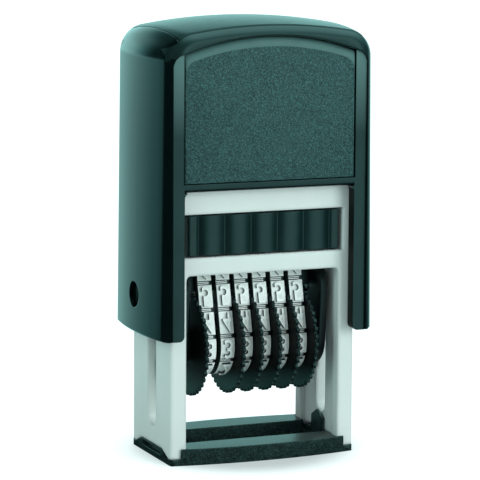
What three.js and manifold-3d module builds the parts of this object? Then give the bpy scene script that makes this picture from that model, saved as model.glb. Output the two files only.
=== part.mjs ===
// A self-inking numbering machine for the desk: six number bands on thumb wheels, which a cap turns
// over onto the paper when it is pressed down.
// Millimetres, front is -Y, up is +Z, and z = 0 is the table under the foot.
import * as THREE from "three";
import { mergeVertices } from "three/addons/utils/BufferGeometryUtils.js";
import Module from "manifold-3d";

const wasm = await Module();
wasm.setup();

// Clearances
const slideGap = 0.4;
const turnGap = 0.3;
const fitGap = 0.15;
const seatGap = 0.1;
const overrun = 1;

// Frame
const frameWidth = 34.4;
const frameDepth = 18.47;
const frameWall = 2.1;
const frameCornerRadius = 0.4;
const columnWidth = 2.9;
const columnDepth = 2.43;
const windowHeight = 31.9;
const windowCornerRadius = 0.8;
const lowerBarHeight = 3.1;
const chamberHeight = 7.5;
const chamberWall = 2.2;
const topFloor = 1;
const topBoxHeight = 4.9;
const topBoxWall = 1.6;
const slotWidth = 4;
const slotTopRise = 2.4;

// Foot
const footPlate = 1.1;
const footLap = 0.1;
const footCornerLap = 0.3;
const footBow = 1.4;
const footCornerRadius = 0.8;
const footBarHeight = 2.9;
const footBarSetback = 1.8;
const apertureDepth = 9.8;
const railHeight = 2.2;
const railTopLength = 9.6;
const railFootLength = 15.6;
const railPocketLength = 8.4;
const railPocketHeight = 1.2;
const railPocketDepth = 0.8;
const tabWidth = 4.6;
const tabThickness = 0.6;
const tabShoulderHeight = 4.6;
const tabTipHeight = 5.9;
const catchWidth = 3;
const catchHeight = 1.1;
const catchReach = 0.6;
const catchRise = 3.1;

// Carrier and its reversing track
const printRadius = 7.3;
const shaftDrop = 9.4;
const camPinDrop = 5;
const camPinRadius = 0.9;
const camTrackDepth = 0.7;
const cheekThickness = 1.8;
const cheekTopRadius = 5.85;
const cheekTopDrop = 0.4;
const cheekFootRadius = 5.1;
const cheekBevel = 0.35;
const shaftRadius = 1.5;
const spacerRadius = 3.2;
const cheekBossLength = 1.48;
const bridgeFootHalf = 1.9;
const bridgeTopHalf = 0.9;

// Bands and thumb wheels
const bandCount = 6;
const bandThickness = 1.9;
const bandOuterRadius = 6.2;
const bandTopHalf = 2.3;
const bandInnerTopHalf = 1.1;
const bandCornerGap = 1.3;
const cellCount = 12;
const cellLength = 3.95;
const cellHeight = 0.95;
const wheelRadius = 9.2;
const wheelThickness = 0.6;
const toothCount = 40;
const toothHeight = 0.5;
const toothTipShare = 0.42;
const toothRootShare = 0.2;

// Pivot pins
const pinNeckRadius = 1.2;
const pinJournalRadius = 2;
const pinRecess = 0.9;
const pinSlit = 0.7;
const pinSlitDepth = 1.5;

// Ink cassette
const scallopCount = 5;
const cassetteEndGap = 0.7;
const cassetteLeftFlat = 2.35;
const cassetteRightFlat = 1.7;
const scallopRise = 0.55;
const cassetteFaceSetback = 0.12;
const cassetteFlatSetback = 0.25;
const cassetteEndRound = 0.85;
const padEndWall = 2.3;
const padMargin = 3.7;
const padHeight = 2.6;
const padCornerRadius = 1.2;
const padRecess = 0.1;

// Cap
const capSideWall = 3;
const capDepthGap = 0.665;
const capFrontWall = 2.1;
const capRimProud = 1;
const capSideArcRadius = 60;
const capCornerRadius = 3;
const capDraft = 0.5;
const capArchRadius = 90;
const capShoulderRadius = 5.5;
const capShoulderShrinkShare = 0.6;
const capDomeRadius = 88;
const capLipRound = 1.6;
const capFootChamfer = 0.35;
const capFootRound = 1.2;
const capDeck = 2.4;
const coverThickness = 2.1;
const coverArchRadius = 60;
const coverSideInset = 3.6;
const coverEndInset = 1;
const seamGap = 0.22;
const legLap = 1.45;
const legGroundGap = 0.6;
const legWindowRadius = 1;
const barShow = 4.15;
const ledgeHeight = 1.15;
const recessInset = 2.7;
const recessFlare = 1;
const lipHeight = 2.7;
const lipArchRadius = 46;
const recessCornerRadius = 2;
const panelSideInset = 2;
const panelThickness = 1.1;
const panelBevelHeight = 1.4;
const panelBevelDepth = 0.7;
const panelEdge = 0.25;
const panelFootEdge = 0.5;
const panelCornerRadius = 2.2;
const panelBackRadius = 0.3;
const pressedGap = 0.3;

// Return spring and its tower
const towerRise = 1.5;
const towerRadius = 6.4;
const towerWall = 1.2;
const towerHeadroom = 0.7;
const springRadius = 4.2;
const springWire = 0.7;
const springTurns = 7;

// Facets
const tinySteps = 3;
const roundSteps = 6;
const rodSides = 20;
const boreSides = 28;
const wireSides = 5;
const turnSteps = 8;
const bandArcSteps = 8;
const trackSteps = 18;

// Heights and places that follow from the sizes above
const frameHalf = frameWidth / 2;
const frameFront = frameDepth / 2;
const wallInner = frameHalf - frameWall;
const columnInner = frameHalf - columnWidth;
const columnBack = frameFront - columnDepth;
const windowTopZ = footPlate + windowHeight;
const chamberFloorZ = windowTopZ + lowerBarHeight;
const chamberTopZ = chamberFloorZ + chamberHeight;
const chamberHalf = frameHalf - chamberWall;
const cassetteHalf = chamberHalf - cassetteEndGap;
const cassetteFront = frameFront - cassetteFaceSetback;
const padHalfLength = cassetteHalf - padEndWall;
const padHalfDepth = bandTopHalf + padMargin;
const frameTopZ = chamberTopZ + topBoxHeight;
const springFloorZ = chamberTopZ + topFloor;
const towerTopZ = frameTopZ + towerRise;

const printFaceZ = chamberFloorZ + seatGap;
const pivotZ = printFaceZ - printRadius;
const stroke = pivotZ - printRadius;
const shaftZ = pivotZ - shaftDrop;
const cheekOuter = columnInner - slideGap;
const cheekInner = cheekOuter - cheekThickness;
const packHalf = cheekInner - cheekBossLength;
const bandPitch = (2 * packHalf - wheelThickness) / bandCount;
const bandWidth = bandPitch - wheelThickness - 2 * fitGap;
const hubRadius = bandOuterRadius - bandThickness - fitGap;

const cavityHalf = frameHalf + slideGap;
const cavityFront = frameFront + capDepthGap;
const capHalf = cavityHalf + capSideWall;
const panelFaceY = cavityFront + capFrontWall;
const capFront = panelFaceY + capRimProud;
const legBottomZ = stroke + legGroundGap;
const legInner = frameHalf - legLap;
const openingTopZ = chamberTopZ + barShow;
const panelBottomZ = openingTopZ + ledgeHeight;
const cavityTopZ = frameTopZ + stroke + pressedGap;
const springTopZ = towerTopZ + stroke + towerHeadroom;
const coverBottomZ = springTopZ + capDeck;
const capCrestZ = coverBottomZ + coverThickness;
const lipLowZ = capCrestZ - lipHeight;
const recessHalf = capHalf - recessInset;
const panelPocketHalf = recessHalf - panelSideInset;
const coverHalf = capHalf - coverSideInset;
const coverEnd = capFront - coverEndInset;
const boreRadius = pinJournalRadius + turnGap;

// Solids from three.js geometries
function solid(geometry) {
  const plain = geometry.clone();
  plain.deleteAttribute("normal");
  plain.deleteAttribute("uv");
  const merged = mergeVertices(plain);
  const triVerts = new Uint32Array(merged.index.array);
  const vertProperties = merged.attributes.position.array;
  return new wasm.Manifold(new wasm.Mesh({ numProp: 3, vertProperties, triVerts }));
}

function geometryOf(body) {
  const made = body.getMesh();
  const geometry = new THREE.BufferGeometry();
  const points = new THREE.BufferAttribute(new Float32Array(made.vertProperties), 3);
  geometry.setAttribute("position", points);
  geometry.setIndex(new THREE.BufferAttribute(new Uint32Array(made.triVerts), 1));
  geometry.computeVertexNormals();
  return geometry;
}

function joined(bodies) {
  return bodies.reduce((sum, body) => sum.add(body));
}

function without(body, cuts) {
  return cuts.reduce((rest, cut) => rest.subtract(cut), body);
}

function block(x0, x1, y0, y1, z0, z1) {
  const geometry = new THREE.BoxGeometry(x1 - x0, y1 - y0, z1 - z0);
  geometry.translate((x0 + x1) / 2, (y0 + y1) / 2, (z0 + z1) / 2);
  return solid(geometry);
}

function extruded(shape, length, basis, steps, bevel = 0) {
  const geometry = new THREE.ExtrudeGeometry(shape, {
    depth: length - 2 * bevel,
    curveSegments: steps,
    bevelEnabled: bevel > 0,
    bevelThickness: bevel,
    bevelSize: bevel,
    bevelOffset: -bevel,
    bevelSegments: 1,
  });
  geometry.translate(0, 0, bevel);
  geometry.applyMatrix4(basis);
  return solid(geometry);
}

// A shape drawn in (y, z), carried along X from x0 to x1
function alongX(shape, x0, x1, steps = roundSteps, bevel = 0) {
  const basis = new THREE.Matrix4().set(0, 0, 1, x0, 1, 0, 0, 0, 0, 1, 0, 0, 0, 0, 0, 1);
  return extruded(shape, x1 - x0, basis, steps, bevel);
}

// A shape drawn in (x, z), carried along Y from y0 to y1
function alongY(shape, y0, y1, steps = roundSteps) {
  const basis = new THREE.Matrix4().set(1, 0, 0, 0, 0, 0, -1, y1, 0, 1, 0, 0, 0, 0, 0, 1);
  return extruded(shape, y1 - y0, basis, steps);
}

// A shape drawn in (x, y), carried along Z from z0 to z1
function alongZ(shape, z0, z1, steps = roundSteps) {
  const basis = new THREE.Matrix4().makeTranslation(0, 0, z0);
  return extruded(shape, z1 - z0, basis, steps);
}

function rodX(radius, x0, x1, y, z, sides = rodSides) {
  const geometry = new THREE.CylinderGeometry(radius, radius, x1 - x0, sides);
  geometry.rotateZ(Math.PI / 2);
  geometry.translate((x0 + x1) / 2, y, z);
  return solid(geometry);
}

function rodZ(radius, z0, z1, sides = boreSides) {
  const geometry = new THREE.CylinderGeometry(radius, radius, z1 - z0, sides);
  geometry.rotateX(Math.PI / 2);
  geometry.translate(0, 0, (z0 + z1) / 2);
  return solid(geometry);
}

function roundedRect(x0, x1, y0, y1, radius) {
  const shape = new THREE.Shape();
  shape.moveTo(x0 + radius, y0);
  shape.lineTo(x1 - radius, y0);
  shape.absarc(x1 - radius, y0 + radius, radius, -Math.PI / 2, 0);
  shape.lineTo(x1, y1 - radius);
  shape.absarc(x1 - radius, y1 - radius, radius, 0, Math.PI / 2);
  shape.lineTo(x0 + radius, y1);
  shape.absarc(x0 + radius, y1 - radius, radius, Math.PI / 2, Math.PI);
  shape.lineTo(x0, y0 + radius);
  shape.absarc(x0 + radius, y0 + radius, radius, Math.PI, (3 * Math.PI) / 2);
  return shape;
}

// The arc between two angles, as points round a centre
function arcPoints(cx, cy, radius, from, to, steps) {
  const points = [];
  for (let i = 0; i <= steps; i++) {
    const angle = from + ((to - from) * i) / steps;
    points.push([cx + radius * Math.cos(angle), cy + radius * Math.sin(angle)]);
  }
  return points;
}

function shapeOf(points) {
  return new THREE.Shape(points.map(([a, b]) => new THREE.Vector2(a, b)));
}

// A closed body from points and triangles, which may all face inward
function closedBody(positions, index) {
  const geometry = new THREE.BufferGeometry();
  geometry.setAttribute("position", new THREE.Float32BufferAttribute(positions, 3));
  geometry.setIndex(index);
  const made = solid(geometry);
  if (made.volume() > 0) return made;
  geometry.setIndex(index.slice().reverse());
  return solid(geometry);
}

// A closed body through rings of equal length, each ring a list of [x, z] at its own y
function loft(rings) {
  const count = rings[0].points.length;
  const positions = [];
  for (const ring of rings) {
    for (const [x, z] of ring.points) positions.push(x, ring.y, z);
  }
  const index = [];
  for (let r = 0; r + 1 < rings.length; r++) {
    for (let i = 0; i < count; i++) {
      const a = r * count + i;
      const b = r * count + ((i + 1) % count);
      index.push(a, b, a + count, b, b + count, a + count);
    }
  }
  for (const [r, turned] of [[0, true], [rings.length - 1, false]]) {
    const contour = rings[r].points.map(([x, z]) => new THREE.Vector2(x, z));
    for (const [a, b, c] of THREE.ShapeUtils.triangulateShape(contour, [])) {
      const corner = [a, b, c].map((i) => i + r * count);
      index.push(...(turned ? corner.reverse() : corner));
    }
  }
  return closedBody(positions, index);
}

function mirroredX(body) {
  return body.mirror([1, 0, 0]);
}

function turnedRound(body) {
  return body.rotate([0, 0, 180]);
}

// The arched top shared by the cap, its recess and its panels: a large arc between two shoulders.
// Points run from the right side, over the crest, to the left side.
function archTop(half, crestZ, archRadius, shoulderRadius, steps = roundSteps) {
  const cx = half - shoulderRadius;
  const reach = archRadius - shoulderRadius;
  const cz = crestZ - archRadius + Math.sqrt(reach ** 2 - cx ** 2);
  const tangent = Math.asin(cx / reach);
  const right = arcPoints(cx, cz, shoulderRadius, 0, Math.PI / 2 - tangent, steps);
  for (let i = 1; i <= steps; i++) {
    const angle = tangent * (1 - i / steps);
    right.push([archRadius * Math.sin(angle), crestZ - archRadius * (1 - Math.cos(angle))]);
  }
  const left = right.slice(0, -1).reverse();
  return [...right, ...left.map(([x, z]) => [-x, z])];
}

function archedOutline(half, bottomZ, crestZ, archRadius, shoulderRadius) {
  return [[-half, bottomZ], [half, bottomZ], ...archTop(half, crestZ, archRadius, shoulderRadius)];
}

// Frame: two columns with flanges, a lower bar, the cassette chamber and the spring tower
function reversingTrack(radius) {
  const left = [];
  const right = [];
  for (let i = 0; i <= trackSteps; i++) {
    const turn = (Math.PI * i) / trackSteps;
    const y = camPinDrop * Math.sin(turn);
    const z = pivotZ - (stroke * i) / trackSteps - camPinDrop * Math.cos(turn);
    const dy = camPinDrop * Math.cos(turn);
    const dz = camPinDrop * Math.sin(turn) - stroke / Math.PI;
    const along = Math.hypot(dy, dz);
    left.push([y - (radius * dz) / along, z + (radius * dy) / along]);
    right.push([y + (radius * dz) / along, z - (radius * dy) / along]);
  }
  return shapeOf([...left, ...right.reverse()]);
}

function slotShape() {
  const half = slotWidth / 2;
  const bottom = printRadius - pinBushRadius() - fitGap + half;
  const shape = new THREE.Shape();
  shape.moveTo(half, pivotZ + slotTopRise);
  shape.lineTo(-half, pivotZ + slotTopRise);
  shape.lineTo(-half, bottom);
  shape.absarc(0, bottom, half, Math.PI, 2 * Math.PI);
  return shape;
}

function pinBushRadius() {
  return slotWidth / 2 - fitGap;
}

function railShape(grow) {
  const top = railTopLength / 2 + grow;
  const foot = railFootLength / 2 + grow;
  const height = railHeight + grow;
  return shapeOf([[-foot, footPlate], [foot, footPlate], [top, height], [-top, height]]);
}

function makeFrame() {
  const outer = roundedRect(-frameHalf, frameHalf, -frameFront, frameFront, frameCornerRadius);
  const body = alongZ(outer, footPlate, frameTopZ);
  const window = roundedRect(
    -columnInner,
    columnInner,
    footPlate - windowCornerRadius - overrun,
    windowTopZ,
    windowCornerRadius,
  );
  const trackRadius = camPinRadius + turnGap;
  const catchHalf = catchWidth / 2 + fitGap;
  const catchBottom = catchRise - fitGap;
  const catchTop = catchRise + catchHeight + fitGap;
  const trackEnd = wallInner + camTrackDepth;
  const trackStops = [pivotZ - camPinDrop, printRadius + camPinDrop];
  const sideCuts = [
    alongX(slotShape(), wallInner - overrun, frameHalf + overrun),
    alongX(reversingTrack(trackRadius), wallInner - overrun, trackEnd),
    ...trackStops.map((z) => rodX(trackRadius, wallInner - overrun, trackEnd, 0, z)),
    block(
      wallInner - overrun,
      wallInner + catchReach + fitGap,
      -catchHalf,
      catchHalf,
      catchBottom,
      catchTop,
    ),
    alongX(railShape(seatGap), columnInner - overrun, frameHalf + overrun, tinySteps),
  ];
  const topHalf = frameHalf - topBoxWall;
  const topFront = frameFront - topBoxWall;
  const shell = without(body, [
    alongY(window, -frameFront - overrun, frameFront + overrun, tinySteps),
    block(-wallInner, wallInner, -columnBack, columnBack, footPlate - overrun, windowTopZ),
    block(-columnInner, columnInner, -columnBack, columnBack, windowTopZ - overrun, chamberFloorZ + overrun),
    block(
      -chamberHalf,
      chamberHalf,
      -frameFront - overrun,
      frameFront + overrun,
      chamberFloorZ,
      chamberTopZ,
    ),
    block(-topHalf, topHalf, -topFront, topFront, springFloorZ, frameTopZ + overrun),
    ...sideCuts,
    ...sideCuts.map(mirroredX),
  ]);
  const tower = rodZ(towerRadius, springFloorZ - topFloor / 2, towerTopZ);
  return without(shell.add(tower), [rodZ(towerRadius - towerWall, springFloorZ, towerTopZ + overrun)]);
}

// Foot: a plate with an opening for the print, bowed bars in front and behind, rails and snap tabs
function bowedOutline(half, cornerY) {
  const flat = half - footCornerRadius;
  const sweep = Math.atan(footBow / flat) * 2;
  const radius = flat / Math.sin(sweep);
  const start = Math.PI / 2 - sweep;
  const bow = arcPoints(0, cornerY + footBow - radius, radius, start, start + 2 * sweep, 2 * roundSteps);
  const roundingY = cornerY - footCornerRadius;
  const right = arcPoints(flat, roundingY, footCornerRadius, 0, Math.PI / 2, roundSteps);
  const left = right.map(([x, y]) => [-x, y]).reverse();
  const back = [...right, ...bow.slice(1, -1), ...left];
  return [...back, ...back.map(([x, y]) => [-x, -y])];
}

function makeFoot() {
  const half = frameHalf + footLap;
  const cornerY = frameFront + footCornerLap;
  const outline = shapeOf(bowedOutline(half, cornerY));
  const opening = apertureDepth / 2;
  const barHalf = frameHalf - footBarSetback;
  const plate = alongZ(outline, 0, footPlate);
  const barEnd = frameFront + footBow + footCornerLap + overrun;
  const lip = frameFront + fitGap;
  const lifted = footPlate - overrun / 2;
  const barParts = [-1, 1].flatMap((side) => {
    const [y0, y1] = [side * opening, side * barEnd].sort((a, b) => a - b);
    const [lip0, lip1] = [side * lip, side * barEnd].sort((a, b) => a - b);
    return [
      block(-columnInner + fitGap, columnInner - fitGap, y0, y1, lifted, footBarHeight),
      block(-barHalf, barHalf, lip0, lip1, lifted, footBarHeight),
    ];
  });
  const bars = joined(barParts).intersect(alongZ(outline, 0, footBarHeight));
  const rail = without(alongX(railShape(0), columnInner + fitGap, half, tinySteps), [
    block(
      half - railPocketDepth,
      half + overrun,
      -railPocketLength / 2,
      railPocketLength / 2,
      railHeight - seatGap - railPocketHeight,
      railHeight - seatGap * 2,
    ),
    ...[-1, 1].map((side) => {
      const [y0, y1] = [side * (columnBack - fitGap), side * railFootLength].sort((a, b) => a - b);
      return block(columnInner - overrun, frameHalf + fitGap / 3, y0, y1, footPlate, railHeight + overrun);
    }),
  ]);
  const tabHalf = tabWidth / 2;
  const tabOutline = shapeOf([
    [-tabHalf, footPlate / 2],
    [tabHalf, footPlate / 2],
    [tabHalf, tabShoulderHeight],
    [0, tabTipHeight],
    [-tabHalf, tabShoulderHeight],
  ]);
  const tabOuter = wallInner - fitGap;
  const tab = alongX(tabOutline, tabOuter - tabThickness, tabOuter, tinySteps);
  const catchOutline = shapeOf([
    [tabOuter - tabThickness / 2, catchRise],
    [wallInner + catchReach, catchRise],
    [tabOuter - tabThickness / 2, catchRise + catchHeight],
  ]);
  const catchWedge = alongY(catchOutline, -catchWidth / 2, catchWidth / 2, tinySteps);
  const side = joined([rail, tab, catchWedge]);
  const open = block(-columnInner, columnInner, -opening, opening, -overrun, footBarHeight + overrun);
  return joined([plate, bars, side, mirroredX(side)]).subtract(open);
}

// Coil of the return spring, and the least gap between its turns
function helixPoint(turn) {
  const low = springFloorZ + seatGap + springWire / 2;
  const high = springTopZ - seatGap - springWire / 2;
  const angle = 2 * Math.PI * turn;
  const z = low + ((high - low) * turn) / springTurns;
  return new THREE.Vector3(springRadius * Math.cos(angle), springRadius * Math.sin(angle), z);
}

function makeSpring() {
  const steps = springTurns * turnSteps;
  const positions = [];
  const centres = [];
  for (let i = 0; i <= steps; i++) {
    const turn = i / turnSteps;
    const centre = helixPoint(turn);
    const angle = 2 * Math.PI * turn;
    const outward = new THREE.Vector3(Math.cos(angle), Math.sin(angle), 0);
    centres.push(centre);
    for (let k = 0; k < wireSides; k++) {
      const round = (2 * Math.PI * k) / wireSides;
      const point = centre.clone().addScaledVector(outward, (springWire / 2) * Math.cos(round));
      point.z += (springWire / 2) * Math.sin(round);
      positions.push(point.x, point.y, point.z);
    }
  }
  const index = [];
  for (let i = 0; i < steps; i++) {
    for (let k = 0; k < wireSides; k++) {
      const a = i * wireSides + k;
      const b = i * wireSides + ((k + 1) % wireSides);
      index.push(a, a + wireSides, b, b, a + wireSides, b + wireSides);
    }
  }
  const last = steps * wireSides;
  for (let k = 1; k + 1 < wireSides; k++) {
    index.push(0, k, k + 1);
    index.push(last, last + k + 1, last + k);
  }
  let least = Infinity;
  for (let i = 0; i <= steps; i++) {
    for (let j = i + turnSteps / 2; j <= steps; j++) {
      least = Math.min(least, centres[i].distanceTo(centres[j]) - springWire);
    }
  }
  console.log("return spring, least gap to itself: " + least.toFixed(2) + " mm");
  return closedBody(positions, index);
}

// Ink cassette: a housing with scalloped ends and a pocket below for the felt pad
function makeCassette() {
  const half = cassetteHalf;
  const face = cassetteFront;
  const first = -half + cassetteLeftFlat;
  const last = half - cassetteRightFlat;
  const scallopWidth = (last - first) / scallopCount;
  const chord = scallopWidth / 2;
  const radius = (chord ** 2 + scallopRise ** 2) / (2 * scallopRise);
  const sweep = Math.asin(chord / radius);
  const flatY = face - cassetteFlatSetback;
  const cornerX = -half + cassetteEndRound;
  const cornerY = cassetteEndRound - flatY;
  const front = arcPoints(cornerX, cornerY, cassetteEndRound, Math.PI, (3 * Math.PI) / 2, tinySteps);
  front.push([first - 2 * cassetteFlatSetback, -flatY]);
  for (let i = 0; i < scallopCount; i++) {
    const centreX = first + scallopWidth * (i + 1 / 2);
    const start = -Math.PI / 2 - sweep;
    const arc = arcPoints(centreX, radius - face, radius, start, start + 2 * sweep, roundSteps);
    front.push(...(i ? arc.slice(1) : arc));
  }
  front.push([last + 2 * cassetteFlatSetback, -flatY]);
  front.push([half, -flatY]);
  const back = front.map(([x, y]) => [-x, -y]);
  const bottom = chamberFloorZ + turnGap;
  const housing = alongZ(shapeOf([...front, ...back]), bottom, chamberTopZ - turnGap);
  const pocketHalf = padHalfLength + turnGap;
  const pocketFront = padHalfDepth + turnGap;
  const pocketTop = bottom + padRecess + padHeight + turnGap;
  return housing.subtract(
    block(-pocketHalf, pocketHalf, -pocketFront, pocketFront, bottom - overrun, pocketTop),
  );
}

function makePad() {
  const bottom = chamberFloorZ + turnGap + padRecess;
  const outline = roundedRect(
    -padHalfLength,
    padHalfLength,
    -padHalfDepth,
    padHalfDepth,
    padCornerRadius,
  );
  return alongZ(outline, bottom, bottom + padHeight, tinySteps);
}

// Cap: a shell lofted from front to back, with a rim round each recessed face
function capStations() {
  const cornerY = capFront - capCornerRadius;
  const inner = capSideArcRadius - capCornerRadius;
  const cornerX = capHalf - capSideArcRadius + Math.sqrt(inner ** 2 - cornerY ** 2);
  const start = Math.asin(cornerY / inner);
  const stations = [];
  for (let i = 0; i <= tinySteps; i++) {
    const angle = (start * i) / tinySteps;
    const half = capHalf - capSideArcRadius * (1 - Math.cos(angle));
    stations.push({ half, y: capSideArcRadius * Math.sin(angle) });
  }
  for (let i = 1; i <= roundSteps; i++) {
    const angle = start + ((Math.PI / 2 - start) * i) / roundSteps;
    const half = cornerX + capCornerRadius * Math.cos(angle);
    stations.push({ half, y: cornerY + capCornerRadius * Math.sin(angle) });
  }
  const front = stations.slice(1).reverse();
  return [...front.map(({ half, y }) => ({ half, y: -y })), ...stations];
}

// How far a rounded end has drawn back from the cap's edge at this y
function roundedBack(radius, y) {
  const into = Math.max(0, Math.abs(y) - capFront + radius);
  return radius - Math.sqrt(radius ** 2 - Math.min(into, radius) ** 2);
}

function capRing({ half, y }) {
  const crest = capCrestZ - y ** 2 / (2 * capDomeRadius) - roundedBack(capLipRound, y);
  const shoulder = capShoulderRadius - capShoulderShrinkShare * (capHalf - half);
  const low = legBottomZ + roundedBack(capFootRound, y);
  const bottom = [
    [-half, low + capFootChamfer],
    [-half + capFootChamfer, low],
    [half - capFootChamfer, low],
    [half, low + capFootChamfer],
  ];
  return { y, points: [...bottom, ...archTop(half - capDraft, crest, capArchRadius, shoulder)] };
}

function capOuter() {
  return loft(capStations().map(capRing));
}

function coverRegion(gap) {
  const half = coverHalf - gap;
  const centreZ = coverBottomZ + gap / 2 - coverArchRadius;
  const sweep = Math.asin(half / coverArchRadius);
  const right = Math.PI / 2 - sweep;
  const low = arcPoints(0, centreZ, coverArchRadius, right + 2 * sweep, right, 2 * roundSteps);
  const top = capCrestZ + overrun;
  const outline = shapeOf([[-half, top], ...low, [half, top]]);
  return alongY(outline, -coverEnd + gap, coverEnd - gap);
}

function faceRecess() {
  const low = legBottomZ - overrun;
  const inner = archedOutline(recessHalf, low, lipLowZ, lipArchRadius, recessCornerRadius);
  const flared = archedOutline(
    recessHalf + recessFlare,
    low,
    lipLowZ + recessFlare / 2,
    lipArchRadius,
    recessCornerRadius + recessFlare,
  );
  return loft([
    { y: -panelFaceY, points: inner },
    { y: -capFront - recessFlare, points: flared },
  ]);
}

function panelPocket() {
  const outline = archedOutline(
    panelPocketHalf,
    panelBottomZ,
    lipLowZ,
    lipArchRadius,
    panelBackRadius,
  );
  return alongY(shapeOf(outline), -capFront - overrun, -panelFaceY + panelThickness + seatGap);
}

// The opening between the legs, with its upper corners rounded and each leg's foot rounded off
function legWindowOutline() {
  const radius = legWindowRadius;
  const down = (3 * Math.PI) / 2;
  const top = arcPoints(legInner - radius, openingTopZ - radius, radius, 0, Math.PI / 2, roundSteps);
  const foot = arcPoints(legInner + radius, legBottomZ + radius, radius, down, Math.PI, roundSteps);
  const right = [[legInner + radius, legBottomZ - overrun], ...foot, ...top];
  return [...right, ...right.map(([x, z]) => [-x, z]).reverse()];
}

function makeCapShell() {
  const cavityRadius = frameCornerRadius + slideGap;
  const cavity = roundedRect(-cavityHalf, cavityHalf, -cavityFront, cavityFront, cavityRadius);
  const recess = faceRecess();
  const pocket = panelPocket();
  return without(capOuter(), [
    alongZ(cavity, legBottomZ - overrun, cavityTopZ),
    rodZ(towerRadius + turnGap, cavityTopZ - overrun, springTopZ),
    alongY(shapeOf(legWindowOutline()), -capFront - overrun, capFront + overrun),
    recess,
    turnedRound(recess),
    pocket,
    turnedRound(pocket),
    coverRegion(0),
    rodX(boreRadius, -capHalf - overrun, capHalf + overrun, 0, pivotZ, boreSides),
  ]);
}

function makeTopCover() {
  return capOuter().intersect(coverRegion(seamGap));
}

function makePanel() {
  const half = panelPocketHalf - fitGap;
  const bottom = panelBottomZ + fitGap;
  const top = lipLowZ - fitGap;
  const back = archedOutline(half, bottom, top, lipArchRadius, panelBackRadius);
  const face = archedOutline(
    half - panelEdge,
    bottom + panelFootEdge,
    lipLowZ - panelBevelHeight,
    lipArchRadius,
    panelCornerRadius,
  );
  return loft([
    { y: -panelFaceY + panelThickness, points: back },
    { y: -panelFaceY + panelBevelDepth, points: back },
    { y: -panelFaceY, points: face },
  ]);
}

// Pivot pins: stepped pins pushed in from the sides of the cap, through the slots, into the cheeks
function makePivotPin() {
  const bush = wallInner + fitGap;
  const journal = frameHalf + fitGap;
  const end = capHalf - pinRecess;
  const pin = joined([
    rodX(pinNeckRadius, cheekInner + fitGap, bush + fitGap, 0, pivotZ),
    rodX(pinBushRadius(), bush, journal + fitGap, 0, pivotZ),
    rodX(pinJournalRadius, journal, end, 0, pivotZ, boreSides),
  ]);
  const slit = block(
    end - pinSlitDepth,
    end + overrun,
    -pinSlit / 2,
    pinSlit / 2,
    pivotZ - pinJournalRadius - overrun,
    pivotZ + pinJournalRadius + overrun,
  );
  return pin.subtract(slit);
}

// Carrier: two cheeks, the setting shaft and the bridge that backs the printing figures
function cheekShape() {
  const topZ = pivotZ - cheekTopDrop;
  const lean = Math.asin((cheekTopRadius - cheekFootRadius) / (topZ - shaftZ));
  const top = arcPoints(0, topZ, cheekTopRadius, -lean, Math.PI + lean, 2 * roundSteps);
  const foot = arcPoints(0, shaftZ, cheekFootRadius, Math.PI + lean, 2 * Math.PI - lean, 2 * roundSteps);
  return shapeOf([...top, ...foot]);
}

function makeCheek() {
  const plate = alongX(cheekShape(), cheekInner, cheekOuter, roundSteps, cheekBevel);
  const boss = rodX(spacerRadius, packHalf + turnGap, cheekInner + cheekBevel, 0, shaftZ);
  const pinEnd = wallInner + camTrackDepth - turnGap;
  const camPin = rodX(camPinRadius, cheekOuter - cheekBevel, pinEnd, 0, pivotZ - camPinDrop);
  return without(joined([plate, boss, camPin]), [
    rodX(pinNeckRadius + turnGap, cheekInner - overrun, cheekOuter + overrun, 0, pivotZ),
    rodX(shaftRadius + fitGap, packHalf - overrun, cheekOuter + overrun, 0, shaftZ),
  ]);
}

function makeBridge() {
  const top = printFaceZ - bandThickness - fitGap;
  const low = shaftZ + wheelRadius + turnGap;
  const outline = shapeOf([
    [-bridgeFootHalf, low],
    [bridgeFootHalf, low],
    [bridgeTopHalf, top],
    [-bridgeTopHalf, top],
  ]);
  return alongX(outline, -cheekInner + fitGap, cheekInner - fitGap, tinySteps);
}

function makeShaft() {
  return rodX(shaftRadius, -cheekOuter + cheekBevel, cheekOuter - cheekBevel, 0, shaftZ);
}

function makeSpacer() {
  const x = -bandPitch * (bandCount / 2 - 1);
  const half = wheelThickness / 2;
  const ring = rodX(hubRadius, x - half, x + half, 0, shaftZ, boreSides);
  return ring.subtract(rodX(shaftRadius + fitGap, x - overrun, x + overrun, 0, shaftZ));
}

// The path of a band: half the loop from the middle of the print face, down the front and round
// to the lowest point, as a point for each distance along it and each inset from it
function bandPath(radius, topHalf, topZ) {
  const rise = topZ - shaftZ;
  const reach = Math.hypot(topHalf, rise);
  const straight = Math.sqrt(reach ** 2 - radius ** 2);
  const touch = Math.atan2(topHalf, rise) + Math.acos(radius / reach);
  const length = topHalf + straight + radius * (Math.PI - touch);
  const at = (distance, inset = 0) => {
    if (distance <= topHalf) return [-distance, topZ - inset];
    const past = distance - topHalf - straight;
    const arm = radius - inset;
    if (past <= 0) {
      const y = -arm * Math.sin(touch) - past * Math.cos(touch);
      return [y, shaftZ + arm * Math.cos(touch) - past * Math.sin(touch)];
    }
    const angle = touch + past / radius;
    return [-arm * Math.sin(angle), shaftZ + arm * Math.cos(angle)];
  };
  return { at, length, straightEnd: topHalf + straight };
}

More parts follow.
